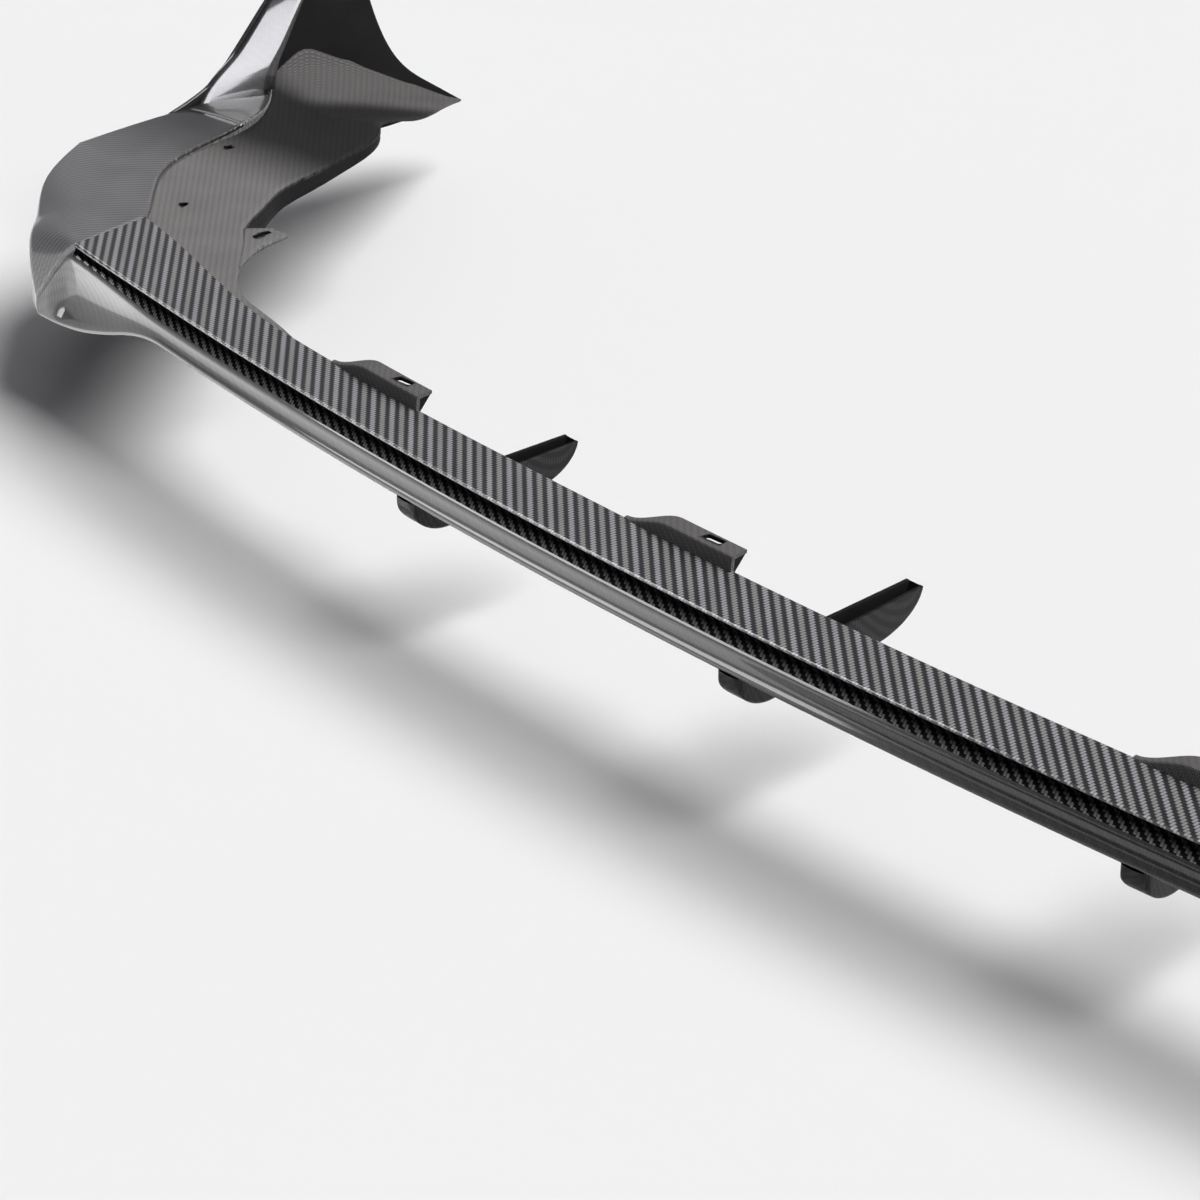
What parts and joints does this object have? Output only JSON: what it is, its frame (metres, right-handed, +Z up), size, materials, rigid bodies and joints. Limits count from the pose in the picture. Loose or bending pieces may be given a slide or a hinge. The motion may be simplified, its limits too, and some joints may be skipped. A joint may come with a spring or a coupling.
{
  "type": "rear bumper lip",
  "caption": "Wide moulded laminate lip for the lower edge of a rear bumper, with upturned end plates and small hollow strakes underneath.",
  "frame": {"origin": "middle of the part's box, on the level surface it stands on", "axes": "+X across the car to its right side, +Y forwards along the car, +Z up"},
  "size_m": [1.81, 0.501, 0.161],
  "materials": {
    "woven_laminate": "clear gloss over a black twill weave, unpolished on the mounting flanges and tabs",
    "strake_laminate": "gloss outside, rough inside"
  },
  "bodies": {
    "root": {"lip": "woven_laminate", "fin_left_outer": "strake_laminate", "fin_left_inner": "strake_laminate", "fin_centre": "strake_laminate", "fin_right_inner": "strake_laminate", "fin_right_outer": "strake_laminate"}
  },
  "joints": []
}
